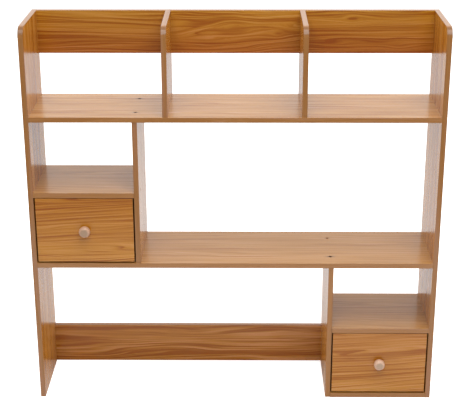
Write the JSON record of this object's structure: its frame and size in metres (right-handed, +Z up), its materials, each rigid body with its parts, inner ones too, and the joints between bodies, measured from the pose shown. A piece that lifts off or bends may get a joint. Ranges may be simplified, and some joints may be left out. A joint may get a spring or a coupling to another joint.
{
  "type": "desk hutch",
  "caption": "Free-standing desk hutch of wood-grain board with open upper bays, wide centre bay, corner cubbies and small knobbed drawers that slide forwards.",
  "frame": {"origin": "bottom centre of the bounding box of the whole object, knobs included", "axes": "+X along the shelves to the right seen from the front, +Y from front to back, +Z up"},
  "size_m": [1.0016, 0.229, 0.963],
  "materials": {
    "laminate_upright": "wood-grain laminate, upright grain, semi-gloss",
    "laminate_shelf": "wood-grain laminate, grain along the shelf, semi-gloss",
    "laminate_rail": "wood-grain laminate, grain along the rail, semi-gloss",
    "laminate_drawer_front": "wood-grain laminate, level grain, semi-gloss",
    "laminate_drawer_box": "wood-grain laminate, satin",
    "hardboard": "hardboard, matt",
    "pale_wood": "turned pale hardwood, clear lacquer",
    "dowel_wood": "bare beech",
    "cap_plastic": "moulded plastic in the colour of the board",
    "glide_plastic": "moulded nylon",
    "zinc": "cast zinc",
    "dark_screw": "steel, bronzed",
    "plated_screw": "steel, zinc plated"
  },
  "bodies": {
    "root": {"bottom_board": "laminate_shelf", "divider_screws": "dark_screw", "left_compartment_back": "laminate_rail", "left_divider": "laminate_upright", "left_panel_screw_caps": "cap_plastic", "left_panel_screws": "dark_screw", "left_side_panel": "laminate_upright", "left_small_shelf": "laminate_shelf", "lower_back_rail": "laminate_rail", "middle_shelf": "laminate_shelf", "rail_dowels": "dowel_wood", "right_compartment_back": "laminate_rail", "right_divider": "laminate_upright", "right_panel_screw_caps": "cap_plastic", "right_panel_screws": "dark_screw", "right_side_panel": "laminate_upright", "right_small_shelf": "laminate_shelf", "shelf_top_screws": "dark_screw", "shelf_underside_screws": "dark_screw", "top_back_rail_centre": "laminate_rail", "top_back_rail_left": "laminate_rail", "top_back_rail_right": "laminate_rail", "top_shelf": "laminate_shelf", "upper_divider_left": "laminate_upright", "upper_divider_right": "laminate_upright"},
    "left_drawer": {"left_drawer_back": "laminate_drawer_box", "left_drawer_back_screws": "plated_screw", "left_drawer_bottom": "hardboard", "left_drawer_cam_bolts": "plated_screw", "left_drawer_cam_locks": "zinc", "left_drawer_dowels": "dowel_wood", "left_drawer_front": "laminate_drawer_front", "left_drawer_glides": "glide_plastic", "left_drawer_knob": "pale_wood", "left_drawer_knob_screw": "plated_screw", "left_drawer_left_side": "laminate_drawer_box", "left_drawer_right_side": "laminate_drawer_box"},
    "right_drawer": {"right_drawer_back": "laminate_drawer_box", "right_drawer_back_screws": "plated_screw", "right_drawer_bottom": "hardboard", "right_drawer_cam_bolts": "plated_screw", "right_drawer_cam_locks": "zinc", "right_drawer_dowels": "dowel_wood", "right_drawer_front": "laminate_drawer_front", "right_drawer_glides": "glide_plastic", "right_drawer_knob": "pale_wood", "right_drawer_knob_screw": "plated_screw", "right_drawer_left_side": "laminate_drawer_box", "right_drawer_right_side": "laminate_drawer_box"}
  },
  "joints": [
    {"name": "left_drawer_slide", "type": "slide", "parent": "root", "child": "left_drawer", "axis": [0, -1, 0], "range_m": [0, 0.15]},
    {"name": "right_drawer_slide", "type": "slide", "parent": "root", "child": "right_drawer", "axis": [0, -1, 0], "range_m": [0, 0.15]}
  ]
}
